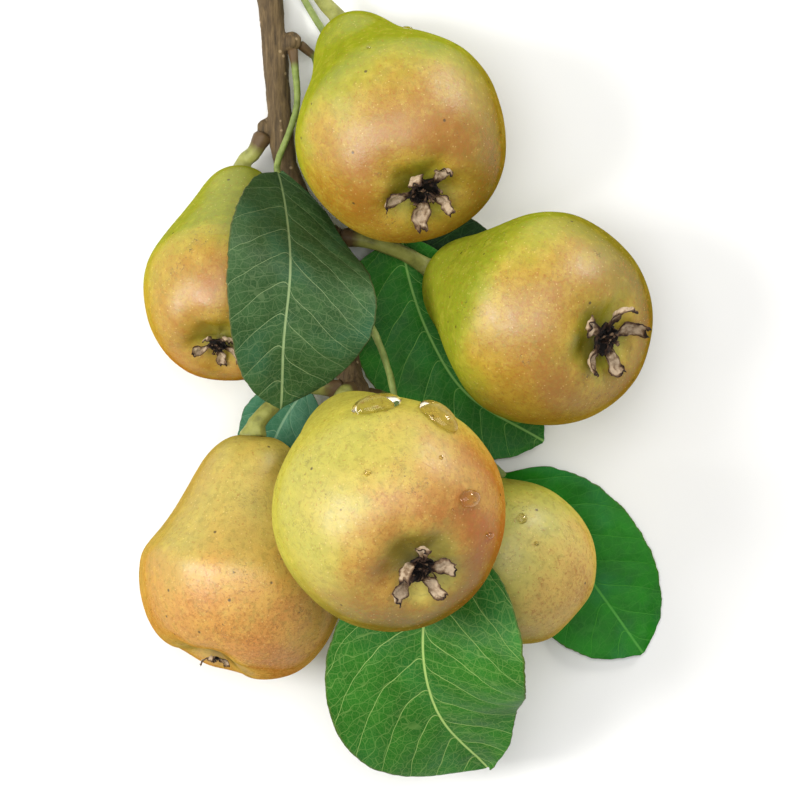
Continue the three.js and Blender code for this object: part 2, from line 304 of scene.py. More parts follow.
    # painted shade: a dark, mottled smudge round the eye, standing in for the shadow in its deep basin
    eyeward = addNode(skin, "ShaderNodeAttribute", {"attribute_name": "eyeward"}).outputs["Fac"]
    paintedEyeShade = addNode(skin, "ShaderNodeMath", {
        "operation": "MULTIPLY", "use_clamp": True}, {0: eyeward, 1: mottle})
    colour = addNode(skin, "ShaderNodeMix", {
        "data_type": "RGBA", 7: "3d3214"}, {0: paintedEyeShade, 6: withSpecks.outputs[2]})

    # the wax catches the light unevenly: dimples of 1 to 3 mm break up the shine
    dimples = addNode(skin, "ShaderNodeMath", {"operation": "MULTIPLY_ADD", 1: 0.8}, {0: crackle, 2: level})
    height = addNode(skin, "ShaderNodeMath", {"operation": "MULTIPLY_ADD", 1: -0.5}, {0: dark, 2: dimples})
    bump = addNode(skin, "ShaderNodeBump", {"Strength": 0.8, "Distance": 0.11 * mm}, {"Height": height})
    gloss = addNode(skin, "ShaderNodeMapRange", {
        "From Min": 0.35, "From Max": 0.65, "To Min": 0.35, "To Max": 0.52}, {0: mottle})
    edgeOn = addNode(skin, "ShaderNodeLayerWeight", {"Blend": 0.5}).outputs["Facing"]
    dullEdge = addNode(skin, "ShaderNodeMapRange", {
        "interpolation_type": "SMOOTHSTEP", "From Min": 0.1, "From Max": 0.7, "To Min": 1, "To Max": 0},
        {0: edgeOn})
    return finishMaterial(skin, {
        "IOR": 1.46, "Subsurface Weight": 0.05, "Subsurface Scale": 1,
        "Subsurface Radius": (2.5 * mm, 1.4 * mm, 0.5 * mm),
    }, {
        "Base Color": colour.outputs[2], "Roughness": gloss, "Specular IOR Level": dullEdge,
        "Normal": bump,
    })


def makePear(name, look):
    eye = np.array(sum(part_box(name + "_calyx"), Vector()) / 2 / mm)
    neck = endNear(name + "_stalk", name)[0]
    axis = (neck - eye) / np.linalg.norm(neck - eye)
    skin = startCopy(name, name + "_skin")
    editAll(skin)
    bpy.ops.mesh.tris_convert_to_quads(face_threshold=math.radians(50), shape_threshold=math.radians(80))
    bpy.ops.object.mode_set(mode="OBJECT")
    applyModifier(skin, "SUBSURF", {"levels": 3, "render_levels": 3})
    places = points(skin)
    normals = pointNormals(skin)
    fromEye = places - eye
    upAxis = fromEye @ axis
    outward = fromEye - np.outer(upAxis, axis)
    radius = np.linalg.norm(outward, axis=1)
    side = np.cross(axis, (0, 0, 1))
    side /= np.linalg.norm(side)
    other = np.cross(axis, side)
    turn = np.arctan2(outward @ other, outward @ side)
    size = np.linalg.norm(neck - eye)

    # full flesh: the smoothed skin is let out again, with broad lumps and five low ribs round the eye
    lumps = pearShape["lumps"] * grain(places, 26, look["seed"])
    lumps = lumps + pearShape["dimples"] * grain(places, 9, look["seed"] + 4)
    ribs = pearShape["ribs"] * np.cos(5 * turn + look["seed"]) * np.exp(-((radius - 11) / 7) ** 2)
    ribs = ribs * (upAxis < size * 0.4)
    places = places + normals * (pearShape["letOut"] + lumps * smoothStep(radius, 2, 9) + ribs)[:, None]
    movePoints(skin, places)

    sunny = np.array(look["sunny"]) / np.linalg.norm(look["sunny"])
    facing = 0.5 + 0.5 * (normals @ sunny)
    share = upAxis / size  # 0 at the eye, 1 at the stalk
    ringed = 0.16 * np.exp(-((radius - 18) / 5.5) ** 2) - 0.42 * np.exp(-(radius / 12) ** 2)
    ringed = ringed * (share < 0.45)
    burnt = look["burn"] * (facing - 0.7)
    ripeness = look["ripe"] + burnt - look["neck"] * smoothStep(share, 0.15, 0.8) + ringed
    # painted shade: points facing this way get the darker olive, standing in for the shade the lamps leave
    # there
    paintedShadeWay = np.array(look["paintedShadeWay"]) / np.linalg.norm(look["paintedShadeWay"])
    keepAttribute(skin, "ripeness", np.clip(ripeness, 0, 1))
    keepAttribute(skin, "shaded", look["paintedShade"] * smoothStep(normals @ paintedShadeWay, 0.15, 0.85))
    # painted shade round the eye, fading out within about 10 mm of it
    keepAttribute(skin, "eyeward", 1.2 * np.exp(-(radius / 5.5) ** 2) * (share < 0.3))
    grown = np.stack([fromEye @ side, fromEye @ other, upAxis], axis=1)
    keepAttribute(skin, "grown", grown + look["seed"] * 100)
    return finishPiece(skin, [pearSkinMaterial(name, look)], "fruit_skin", name)


pearPieces = {name: makePear(name, look) for name, look in pearLooks.items()}
print("pears made:", len(pearPieces))


# calyces: five dried, curled sepals and a tuft of dead stamens in the eye of each pear

calyxLook = {  # millimetres and degrees
    "sepals": 5, "sepalLength": 8.2, "sepalWidth": 3.9, "curl": 100, "stamens": 16, "stamenStep": 360 / 14,
}
calyxTurns = {
    "pear_top": {"turn": 10, "seed": 11, "scale": 1.36},
    "pear_left": {"turn": 40, "seed": 12, "scale": 0.85},
    "pear_right": {"turn": 0, "seed": 13, "scale": 1.42},
    "pear_lower_left": {"turn": 20, "seed": 14, "scale": 0.55},
    "pear_front": {"turn": 30, "seed": 15, "scale": 1.22},
    "pear_lower_right": {"turn": 0, "seed": 16, "scale": 0.8},
}


def driedCalyxMaterial():  # papery dead flower parts: beige, nearly black at the edges and in the cup
    dried = newMaterial("dried_papery_calyx")
    place = addNode(dried, "ShaderNodeTexCoord").outputs["Object"]
    depth = addNode(dried, "ShaderNodeAttribute", {"attribute_name": "shade"}).outputs["Fac"]
    fibres = addNode(dried, "ShaderNodeTexNoise", {
        "Scale": 900, "Detail": 4, "Roughness": 0.7}, {"Vector": place})
    patches = addNode(dried, "ShaderNodeTexNoise", {"Scale": 520, "Detail": 3}, {"Vector": place})
    mixed = addNode(dried, "ShaderNodeMath", {"operation": "MULTIPLY_ADD", 1: 0.9}, {0: patches, 2: depth})
    withFibres = addNode(dried, "ShaderNodeMath", {
        "operation": "MULTIPLY_ADD", 1: 0.45}, {0: fibres, 2: mixed})
    colour = addNode(dried, "ShaderNodeValToRGB", {"stops": [
        (0.34, "0e0805"), (0.56, "3c2617"), (0.8, "7c644a"), (1, "b7a287")]}, {0: withFibres})
    bump = addNode(dried, "ShaderNodeBump", {"Strength": 0.8, "Distance": 0.15 * mm}, {"Height": fibres})
    return finishMaterial(dried, {"Roughness": 0.82, "IOR": 1.4}, {"Base Color": colour, "Normal": bump})


def makeSepal(look):  # a tapered strip, cupped along its length and curled up at its tip, lying along +Y
    lengthwise = 12  # faces from base to tip
    bpy.ops.object.select_all(action="DESELECT")
    bpy.ops.mesh.primitive_grid_add(x_subdivisions=6, y_subdivisions=lengthwise, size=1)
    sepal = bpy.context.object
    sepal.name = "sepal"
    length, width = look["sepalLength"], look["sepalWidth"]
    places = points(sepal) * mm
    along = places[:, 1] + 0.5
    across = places[:, 0] * 2
    tip = np.sqrt(1 - 0.85 * np.clip((along - 0.6) / 0.4, 0, 1) ** 2)
    taper = (0.5 + 0.5 * smoothStep(along, 0.1, 0.55)) * tip
    steps = np.linspace(0, 1, lengthwise + 1)
    angles = np.radians(look["curl"]) * steps ** 2.4
    bends = (angles[1:] + angles[:-1]) / 2
    climb = np.concatenate([[0], np.cumsum(np.sin(bends) / lengthwise)])
    reach = np.concatenate([[0], np.cumsum(np.cos(bends) / lengthwise)])
    folds = 0.7 * across ** 2 * (0.4 + along) + 0.35 * np.sin(9 * along + 5 * across)
    run = np.stack([
        across * width / 2 * taper + 0.3 * np.sin(11 * along),
        np.interp(along, steps, reach) * length + 0.5 * np.sin(5 * across + 1) * along ** 4,
        np.interp(along, steps, climb) * length + folds,
    ], axis=1)
    movePoints(sepal, run)
    inside = smoothStep(1 - np.abs(across), -0.25, 0.5) * smoothStep(1 - along, 0, 0.1)
    keepAttribute(sepal, "shade", -0.28 + 0.62 * smoothStep(along, 0.05, 0.4) * inside)
    applyModifier(sepal, "SOLIDIFY", {"thickness": 0.28 * mm, "offset": 0})
    applyModifier(sepal, "SUBSURF", {"levels": 2, "render_levels": 2})
    return sepal


def makeStamen():  # one dead stamen: a thin bent thread with a small knob
    bpy.ops.object.select_all(action="DESELECT")
    bpy.ops.mesh.primitive_cylinder_add(
        vertices=6, radius=0.14 * mm, depth=3.4 * mm, location=(0, 0, 1.7 * mm))
    stamen = bpy.context.object
    bpy.ops.object.transform_apply(location=True)
    editAll(stamen)
    bpy.ops.mesh.subdivide(number_cuts=3)
    bpy.ops.object.mode_set(mode="OBJECT")
    places = points(stamen)
    top = smoothStep(places[:, 2], 2.4, 3.4)
    places[:, :2] *= (1 + 1.1 * top)[:, None]
    places[:, 0] += 0.12 * places[:, 2] ** 2
    movePoints(stamen, places)
    keepAttribute(stamen, "shade", -0.3 + 0.25 * top)
    return stamen


def makeCup():  # the dark hollow in the middle, with a ragged dry rim
    bpy.ops.object.select_all(action="DESELECT")
    bpy.ops.mesh.primitive_cylinder_add(
        vertices=20, radius=3.3 * mm, depth=1.4 * mm, location=(0, 0, 0.2 * mm))
    cup = bpy.context.object
    bpy.ops.object.transform_apply(location=True)
    editAll(cup)
    bpy.ops.mesh.select_all(action="DESELECT")
    bpy.ops.object.mode_set(mode="OBJECT")
    for face in cup.data.polygons:
        face.select = face.normal.z > 0.9
    bpy.ops.object.mode_set(mode="EDIT")
    bpy.ops.mesh.inset(thickness=0.5 * mm)
    bpy.ops.mesh.inset(thickness=0.35 * mm)
    bpy.ops.transform.translate(value=(0, 0, -1.0 * mm))
    bpy.ops.mesh.inset(thickness=1.0 * mm)
    bpy.ops.object.mode_set(mode="OBJECT")
    applyModifier(cup, "SUBSURF", {"levels": 1, "render_levels": 1})
    places = points(cup)
    lobes = 1 + 0.16 * grain(places, 2.2, 5) + 0.12 * grain(places, 0.9, 6)
    places[:, :2] *= lobes[:, None]
    places[:, 2] += 0.35 * grain(places, 1.1, 3) * (places[:, 2] > 0.4)
    movePoints(cup, places)
    keepAttribute(cup, "shade", np.full(len(places), -0.45) + 0.2 * (places[:, 2] > 0.7))
    return cup


def copyOf(piece, matrix):  # a copy with its own mesh, moved by this matrix
    copy = piece.copy()
    copy.data = piece.data.copy()
    copy.data.transform(matrix)
    bpy.context.scene.collection.objects.link(copy)
    return copy


def standOn(place, outward):  # a stand at this place, with its Z pointing this way
    return Matrix.Translation(place) @ outward.to_track_quat("Z", "Y").to_matrix().to_4x4()


def joinPieces(parts, name):
    bpy.ops.object.select_all(action="DESELECT")
    for part in parts:
        part.select_set(True)
    bpy.context.view_layer.objects.active = parts[0]
    bpy.ops.object.join()
    parts[0].name = name
    return parts[0]


driedCalyx = driedCalyxMaterial()
sepal, stamen, cup = makeSepal(calyxLook), makeStamen(), makeCup()
for name, look in calyxTurns.items():
    picks = random.Random(look["seed"])
    low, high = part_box(name + "_calyx")
    eye = (low + high) / 2
    neck = endNear(name + "_stalk", name)[0]
    outward = (eye - Vector(neck) * mm).normalized()
    stand = standOn(eye - outward * 0.6 * mm, outward)
    stand = stand @ Matrix.Rotation(math.radians(look["turn"]), 4, "Z") @ Matrix.Scale(look["scale"], 4)
    parts = [copyOf(cup, stand)]
    for index in range(calyxLook["sepals"]):
        lean = Matrix.Rotation(math.radians(picks.uniform(-14, 20)), 4, "X")
        twist = Matrix.Rotation(math.radians(picks.uniform(-30, 30)), 4, "Y")
        stretch = Matrix.Diagonal((
            picks.uniform(0.75, 1.05), picks.uniform(0.72, 1.12), picks.uniform(0.7, 1.3), 1))
        heading = 360 / calyxLook["sepals"] * index + picks.uniform(-9, 9)
        spread = Matrix.Rotation(math.radians(heading), 4, "Z")
        out = Matrix.Translation((0, 1.9 * mm, 0.5 * mm))
        parts.append(copyOf(sepal, stand @ spread @ out @ lean @ twist @ stretch))
    for index in range(calyxLook["stamens"]):
        heading = calyxLook["stamenStep"] * index + picks.uniform(-15, 15)
        spread = Matrix.Rotation(math.radians(heading), 4, "Z")
        lean = Matrix.Rotation(math.radians(picks.uniform(-38, 30)), 4, "X")
        out = Matrix.Translation((0, picks.uniform(0.2, 1.7) * mm, -0.3 * mm))
        parts.append(copyOf(stamen, stand @ spread @ out @ lean @ Matrix.Scale(picks.uniform(0.7, 1.1), 4)))
    flower = joinPieces(parts, name + "_dried_flower")
    places = points(flower)
    for axis in range(3):
        seed = look["seed"] + axis
        places[:, axis] += 0.6 * grain(places, 2.6, seed) + 0.32 * grain(places, 1, seed + 3)
    movePoints(flower, places)
    finishPiece(flower, [driedCalyx], "dried_calyx", name + "_calyx")
for model in (sepal, stamen, cup):
    bpy.data.objects.remove(model)
print("calyces made:", len(calyxTurns))


# leaves: glossy blades with sunken veins over a paler underside

# blade: dark and light green; spacing: millimetres between side veins; slope: how far they slant to the tip
# relief: how deep the veins and the pillows between them are; the last key: how strong the blue-green cast
# is, a painted cool sheen laid in random patches
leafLooks = {
    "leaf_front": {
        "blade": ("25431f", "3a5c32"), "veins": "8ba070",
        "spacing": 9.5, "slope": 0.7, "seed": 21, "relief": 0.6, "paintedSheen": 0.3,
    },
    "leaf_middle": {
        "blade": ("175810", "2b801d"), "veins": "83b55c",
        "spacing": 9.5, "slope": 0.75, "seed": 22, "relief": 0.45, "paintedSheen": 0.15,
    },
    "leaf_shaded": {
        # painted shade: greens and veins darkened to stand in for the shade this leaf lies in between the
        # pears
        "blade": ("0c260a", "173c11"), "veins": "456838",
        "spacing": 8, "slope": 0.8, "seed": 23, "relief": 0.6, "paintedSheen": 0.3,
    },
    "leaf_bottom": {
        "blade": ("1e5911", "30751f"), "veins": "a4c06c",
        "spacing": 10.5, "slope": 0.7, "seed": 24, "relief": 0.8, "paintedSheen": 0.12,
    },
    "leaf_right": {
        "blade": ("0a5a05", "1e8010"), "veins": "4a9636",
        "spacing": 10, "slope": 0.75, "seed": 25, "relief": 0.35, "paintedSheen": 0.35,
    },
    "leaf_behind_stalk": {
        "blade": ("33684a", "4b8465"), "veins": "7fa584",
        "spacing": 8, "slope": 0.8, "seed": 26, "relief": 0.6, "paintedSheen": 0.5,
    },
    "leaf_under_top_pear": {
        # painted shade: the same darkened greens, for the shade under the top pear
        "blade": ("0c260a", "173c11"), "veins": "456838",
        "spacing": 8, "slope": 0.8, "seed": 27, "relief": 0.6, "paintedSheen": 0.3,
    },
}
bladeShape = {  # millimetres, and the roughness of the upper side
    "thickness": 0.36, "ridge": 0.75, "midribGroove": 0.32, "veinGroove": 0.17, "pillow": 0.3,
    "gloss": 0.46,
}


def leafMaterial(name, look, underside):  # a thin waxy skin over green flesh, with a net of pale veins
    leaf = newMaterial(("pale_leaf_underside_" if underside else "waxy_leaf_upper_") + name)
    plan = addNode(leaf, "ShaderNodeAttribute", {"attribute_name": "leafPlan"}).outputs["Vector"]  # mm
    veinRun = addNode(leaf, "ShaderNodeAttribute", {"attribute_name": "veinRun"}).outputs["Fac"]
    reach = addNode(leaf, "ShaderNodeAttribute", {"attribute_name": "reach"}).outputs["Fac"]
    across = addNode(leaf, "ShaderNodeSeparateXYZ", {}, {0: plan})

    # side veins lie where the run passes a whole number
    part = addNode(leaf, "ShaderNodeMath", {"operation": "PINGPONG", 1: 0.5}, {0: veinRun})
    width = addNode(leaf, "ShaderNodeMapRange", {
        "From Min": 0, "From Max": 1, "To Min": 0.024, "To Max": 0.012}, {0: reach})
    sideVein = addNode(leaf, "ShaderNodeMapRange", {
        "interpolation_type": "SMOOTHSTEP", "From Min": 0, "To Min": 0.9, "To Max": 0},
        {0: part, 2: width})
    finer = addNode(leaf, "ShaderNodeAttribute", {"attribute_name": "finerRun"}).outputs["Fac"]
    finerPart = addNode(leaf, "ShaderNodeMath", {"operation": "PINGPONG", 1: 0.5}, {0: finer})
    finerVein = addNode(leaf, "ShaderNodeMapRange", {
        "interpolation_type": "SMOOTHSTEP", "From Min": 0, "From Max": 0.05, "To Min": 0.3, "To Max": 0},
        {0: finerPart})
    fromMiddle = addNode(leaf, "ShaderNodeMath", {"operation": "ABSOLUTE"}, {0: across})
    midrib = addNode(leaf, "ShaderNodeMapRange", {
        "interpolation_type": "SMOOTHSTEP", "From Min": 0.15, "From Max": 0.5, "To Min": 1, "To Max": 0},
        {0: fromMiddle})
    net = addNode(leaf, "ShaderNodeTexVoronoi", {
        "feature": "DISTANCE_TO_EDGE", "Scale": 1 / 2.4}, {"Vector": plan})
    netVein = addNode(leaf, "ShaderNodeMapRange", {
        "interpolation_type": "SMOOTHSTEP", "From Min": 0.0, "From Max": 0.06, "To Min": 0.2, "To Max": 0},
        {0: net})
    fine = addNode(leaf, "ShaderNodeTexVoronoi", {
        "feature": "DISTANCE_TO_EDGE", "Scale": 1 / 0.8}, {"Vector": plan})
    fineVein = addNode(leaf, "ShaderNodeMapRange", {
        "From Max": 0.12, "To Min": 0.09, "To Max": 0}, {0: fine})
    strongest = addNode(leaf, "ShaderNodeMath", {"operation": "MAXIMUM"}, {0: sideVein, 1: finerVein})
    netted = addNode(leaf, "ShaderNodeMath", {"operation": "MAXIMUM"}, {0: netVein, 1: fineVein})
    sides = addNode(leaf, "ShaderNodeMath", {"operation": "MAXIMUM"}, {0: strongest, 1: netted})
    veins = addNode(leaf, "ShaderNodeMath", {"operation": "MAXIMUM"}, {0: sides, 1: midrib})

    patches = addNode(leaf, "ShaderNodeTexNoise", {
        "Scale": 1 / 13, "Detail": 4, "Roughness": 0.6}, {"Vector": plan})
    dark, light = ("5f7d4c", "86a06c") if underside else look["blade"]
    flesh = addNode(leaf, "ShaderNodeValToRGB", {"stops": [(0.3, dark), (0.72, light)]}, {0: patches})
    # painted sheen: broad blue-green patches laid at random, standing in for a cool reflection on the blade
    broad = addNode(leaf, "ShaderNodeTexNoise", {"Scale": 1 / 24, "Detail": 2}, {"Vector": plan})
    paintedSheen = addNode(leaf, "ShaderNodeMapRange", {
        "From Min": 0.48, "From Max": 0.66, "To Max": look["paintedSheen"]}, {0: broad})
    withPaintedSheen = addNode(leaf, "ShaderNodeMix", {"data_type": "RGBA", 7: "2a6b58"}, {0: paintedSheen, 6: flesh})
    veinColour = "a8b787" if underside else look["veins"]
    veined = addNode(leaf, "ShaderNodeMix", {
        "data_type": "RGBA", 7: veinColour}, {0: veins, 6: withPaintedSheen.outputs[2]})
    spots = addNode(leaf, "ShaderNodeTexVoronoi", {"Scale": 1 / 15}, {"Vector": plan})
    spot = addNode(leaf, "ShaderNodeMapRange", {
        "interpolation_type": "SMOOTHSTEP",
        "From Min": 0.035, "From Max": 0.075, "To Min": 0.75, "To Max": 0},
        {0: spots})
    margin = addNode(leaf, "ShaderNodeMapRange", {
        "From Min": 0.975, "From Max": 1, "To Max": 0.55}, {0: reach})
    dry = addNode(leaf, "ShaderNodeMath", {"operation": "MAXIMUM"}, {0: spot, 1: margin})
    colour = addNode(leaf, "ShaderNodeMix", {
        "data_type": "RGBA", 7: "5c5526"}, {0: dry, 6: veined.outputs[2]})
    bump = addNode(leaf, "ShaderNodeBump", {
        "Strength": 0.6, "Distance": 0.12 * mm, "invert": not underside}, {"Height": sides})
    gloss = addNode(leaf, "ShaderNodeMapRange", {
        "To Min": bladeShape["gloss"] - 0.08 + 0.25 * underside,
        "To Max": bladeShape["gloss"] + 0.1 + 0.25 * underside}, {0: patches})
    return finishMaterial(leaf, {"IOR": 1.42, "Specular IOR Level": 0.2},
                          {"Base Color": colour.outputs[2], "Roughness": gloss, "Normal": bump})


bladeGrid = {"along": 16, "across": 7}  # the CAD blade's rows, and the points of a row above and below


def bladeRows(name):  # the CAD blade's upper face as rows of points from its base, each from left to right
    wall = startCopy(name + "_blade", "wall")
    places = points(wall)
    beside = {index: set() for index in range(len(places))}
    for edge in wall.data.edges:
        first, second = edge.vertices
        beside[first].add(second)
        beside[second].add(first)
    bpy.data.objects.remove(wall)
    stalk = points(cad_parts[name + "_stalk"])
    gaps = [np.min(np.linalg.norm(stalk - place, axis=1)) for place in places]
    row = set(np.argsort(gaps)[:2 * bladeGrid["across"]].tolist())
    rows, seen = [row], set(row)
    while len(seen) < len(places):
        row = set().union(*(beside[index] for index in row)) - seen
        rows.append(row)
        seen |= row
    rows = [places[list(row)] for row in rows]
    middles = [row.mean(axis=0) for row in rows]
    upper = []
    for at, row in enumerate(rows):
        travel = middles[min(at + 1, len(rows) - 1)] - middles[max(at - 1, 0)]
        rightward = np.linalg.svd(row - middles[at])[2][0]  # the way the row is longest
        rightward = rightward * np.sign(rightward @ np.cross(travel, (0, 0, 1)))
        upward = np.cross(rightward, travel)
        pairs = row[np.argsort(row @ rightward)].reshape(bladeGrid["across"], 2, 3)
        upper.append([max(pair, key=lambda place: place @ upward) for pair in pairs])
    return np.array(upper)


def makeLeaf(name, look):
    rows = bladeRows(name)
    alongFaces, acrossFaces = bladeGrid["along"] - 1, bladeGrid["across"] - 1
    bpy.ops.object.select_all(action="DESELECT")
    bpy.ops.mesh.primitive_grid_add(
        x_subdivisions=acrossFaces, y_subdivisions=alongFaces, size=1, calc_uvs=True)
    blade = bpy.context.object
    blade.name = name + "_green"
    seat = points(blade) * mm
    rowIndex = np.rint((seat[:, 1] + 0.5) * alongFaces).astype(int)
    columnIndex = np.rint((seat[:, 0] + 0.5) * acrossFaces).astype(int)
    movePoints(blade, rows[rowIndex, columnIndex])
    applyModifier(blade, "SUBSURF", {
        "levels": 4, "render_levels": 4, "uv_smooth": "NONE", "boundary_smooth": "PRESERVE_CORNERS"})
    shares = np.zeros((len(blade.data.vertices), 2))
    for loop, uv in zip(blade.data.loops, blade.data.uv_layers.active.data):
        shares[loop.vertex_index] = uv.uv
    steps = np.linspace(0, 1, bladeGrid["along"])
    midrib = acrossFaces // 2
    lengths = np.linalg.norm(np.diff(rows[:, midrib], axis=0), axis=1)
    lengths = np.concatenate([[0], np.cumsum(lengths)])
    widths = np.linalg.norm(np.diff(rows, axis=1), axis=2)
    leftWidth = np.interp(shares[:, 1], steps, widths[:, :midrib].sum(axis=1))
    rightWidth = np.interp(shares[:, 1], steps, widths[:, midrib:].sum(axis=1))
    offset = shares[:, 0] * 2 - 1  # from -1 at the left edge to 1 at the right
    across = offset * np.where(offset < 0, leftWidth, rightWidth)
    along = np.interp(shares[:, 1], steps, lengths)
    reach = np.abs(offset)
    flat = np.stack([across, along, np.zeros_like(across)], axis=1)
    seed = look["seed"]

    # side veins leave the midrib at a slant and bow towards the tip, a little unevenly
    away = np.abs(across)
    slant = look["slope"] * away + 0.007 * away ** 2
    uneven = 0.22 * grain(flat, 17, seed) + 0.06 * grain(flat, 5, seed)
    run = (along - slant) / look["spacing"] + 0.24 * np.tanh(across / 1.3) + uneven
    finerRun = (along - 0.35 * away + 1.6 * grain(flat, 9, seed + 2)) / (look["spacing"] * 0.36)
    finerRun = finerRun + 0.3 * grain(flat, 3, seed)
    fromVein = np.abs(run - np.rint(run))
    groove = np.exp(-(fromVein * look["spacing"] / 0.55) ** 2) * (1 - 0.6 * reach)
    middle = np.exp(-(away / 0.9) ** 2) * (1 - 0.6 * shares[:, 1])
    inside = np.clip((1 - reach) * 5, 0, 1) * smoothStep(along, 0, 5)
    pillow = smoothStep(fromVein, 0, 0.42) * inside * smoothStep(away, 0.5, 5)
    waves = smoothStep(reach, 0.45, 1) * smoothStep(along, 3, 20)
    grooves = bladeShape["veinGroove"] * groove + bladeShape["midribGroove"] * middle
    relief = bladeShape["pillow"] * pillow - grooves
    ripples = 0.9 * grain(flat, 15, seed + 5) * waves + 0.1 * grain(flat, 2.4, seed + 6) * inside
    lift = look["relief"] * relief + ripples
    places = points(blade)
    outward = np.zeros_like(places)
    lefts = np.array([row[0] - row[-1] for row in rows])
    lefts /= np.linalg.norm(lefts, axis=1)[:, None] + 1e-9
    for axis in range(3):
        outward[:, axis] = np.interp(shares[:, 1], steps, lefts[:, axis]) * -np.sign(offset)
    ragged = 0.4 * grain(flat, 3.2, seed + 8) + 0.22 * grain(flat, 1.3, seed + 9)
    ragged = ragged * reach ** 6 * smoothStep(along, 2, 10)
    places = places + pointNormals(blade) * lift[:, None] + outward * ragged[:, None]
    movePoints(blade, places)
    keepAttribute(blade, "leafPlan", flat)
    keepAttribute(blade, "veinRun", run)
    keepAttribute(blade, "finerRun", finerRun)
    keepAttribute(blade, "reach", reach)

    # the wall under the upper skin, thicker where the midrib stands out below
    ribbed = blade.vertex_groups.new(name="ridge")
    strength = np.exp(-(away / 0.8) ** 2) * (1 - 0.7 * shares[:, 1])
    for index, value in enumerate(strength.tolist()):
        ribbed.add([index], value, "REPLACE")
    blade.data.uv_layers.remove(blade.data.uv_layers.active)
    deepest = bladeShape["thickness"] + bladeShape["ridge"]
    blade.data.materials.append(leafMaterial(name, look, False))
    blade.data.materials.append(leafMaterial(name, look, True))
    applyModifier(blade, "SOLIDIFY", {
        "thickness": deepest * mm, "offset": -1, "vertex_group": "ridge", "material_offset": 1,
        "thickness_vertex_group": bladeShape["thickness"] / deepest, "use_quality_normals": False})
    return finishPiece(blade, [], "leaf", name + "_blade")


leafPieces = {name: makeLeaf(name, look) for name, look in leafLooks.items()}
print("leaves made:", len(leafPieces))


# stalks: fleshy ones on the pears, thin ones on the leaves

# fine: grain of the remeshed wood; flare and into: how far the ends widen and reach in; all in millimetres
fruitStalkLook = {
    "fine": 0.42, "flare": 1.1, "into": 1.2, "colours": ("6b6a35", "8f9148", "a6a55c"), "bark": "5c472c",
}
leafStalkLook = {
    "fine": 0.25, "flare": 0.15, "into": 0.8, "colours": ("5c6b30", "7f8f48", "9da862"), "bark": "5c472c",
}


def stalkMaterial(name, look):  # tough green skin: satin, finely ribbed, corky where it meets the wood
    stalk = newMaterial(name)
    place = addNode(stalk, "ShaderNodeTexCoord").outputs["Object"]
    woody = addNode(stalk, "ShaderNodeAttribute", {"attribute_name": "woody"}).outputs["Fac"]
    mottle = addNode(stalk, "ShaderNodeTexNoise", {
        "Scale": 260, "Detail": 4, "Roughness": 0.65}, {"Vector": place})
    green = addNode(stalk, "ShaderNodeValToRGB", {"stops": [
        (0.25, look["colours"][0]), (0.5, look["colours"][1]), (0.8, look["colours"][2])]}, {0: mottle})
    corky = addNode(stalk, "ShaderNodeMath", {"operation": "MULTIPLY_ADD", 1: 0.8, 2: -0.4}, {0: mottle})
    corkyEdge = addNode(stalk, "ShaderNodeMath", {
        "operation": "ADD", "use_clamp": True}, {0: corky, 1: woody})
    cork = addNode(stalk, "ShaderNodeMapRange", {"From Min": 0.3, "From Max": 0.75}, {0: corkyEdge})
    colour = addNode(stalk, "ShaderNodeMix", {"data_type": "RGBA", 7: look["bark"]}, {0: cork, 6: green})
    ribs = addNode(stalk, "ShaderNodeTexNoise", {"Scale": 1100, "Detail": 3}, {"Vector": place})
    bump = addNode(stalk, "ShaderNodeBump", {"Strength": 0.5, "Distance": 0.1 * mm}, {"Height": ribs})
    return finishMaterial(
        stalk, {"Roughness": 0.55, "IOR": 1.42}, {"Base Color": colour.outputs[2], "Normal": bump})


def makeStalk(node, top, look, material, slot, seed):  # from the twig to the pear or the blade at its top
    stalk = startCopy(node, node + "_grown")
    applyModifier(stalk, "REMESH", {"mode": "VOXEL", "voxel_size": look["fine"] * mm, "adaptivity": 0})
    applyModifier(stalk, "SMOOTH", {"factor": 0.6, "iterations": 8})
    places = points(stalk)
    rootEnd, rootWay = endNear(node, "twig")
    topEnd, topWay = endNear(node, top)
    lumps = 0.12 + 0.12 * grain(places, 5, seed) + 0.05 * grain(places, 1.2, seed)
    places = places + pointNormals(stalk) * lumps[:, None]
    for end, way in ((rootEnd, rootWay), (topEnd, topWay)):
        fromEnd = places - end
        near = 1 - smoothStep(np.linalg.norm(fromEnd, axis=1), 0.4, 5)
        spread = fromEnd - np.outer(fromEnd @ way, way)
        length = np.linalg.norm(spread, axis=1)[:, None] + 1e-6
        wider = spread / length * (look["flare"] * near ** 2)[:, None]
        places = places + wider + np.outer(look["into"] * near ** 2, way)
    movePoints(stalk, places)
    toRoot = np.linalg.norm(places - rootEnd, axis=1)
    keepAttribute(stalk, "woody", 1 - smoothStep(toRoot, 1, 8))
    return finishPiece(stalk, [material], slot, node)


pearStalkSkin = stalkMaterial("fleshy_pear_stalk", fruitStalkLook)
leafStalkSkin = stalkMaterial("tough_leaf_stalk", leafStalkLook)
for index, name in enumerate(pearLooks):
    makeStalk(name + "_stalk", name, fruitStalkLook, pearStalkSkin, "fruit_stalk", 31 + index)
for index, name in enumerate(leafLooks):
    makeStalk(name + "_stalk", name + "_blade", leafStalkLook, leafStalkSkin, "leaf_stalk", 41 + index)
print("stalks made")


# twig: grey-brown bark, ridged lengthwise, pale wood where it was cut

twigLook = {"fine": 0.5, "colours": ("2c2214", "5a482d", "7b6644"), "wood": ("c9b184", "e2cfa6")}


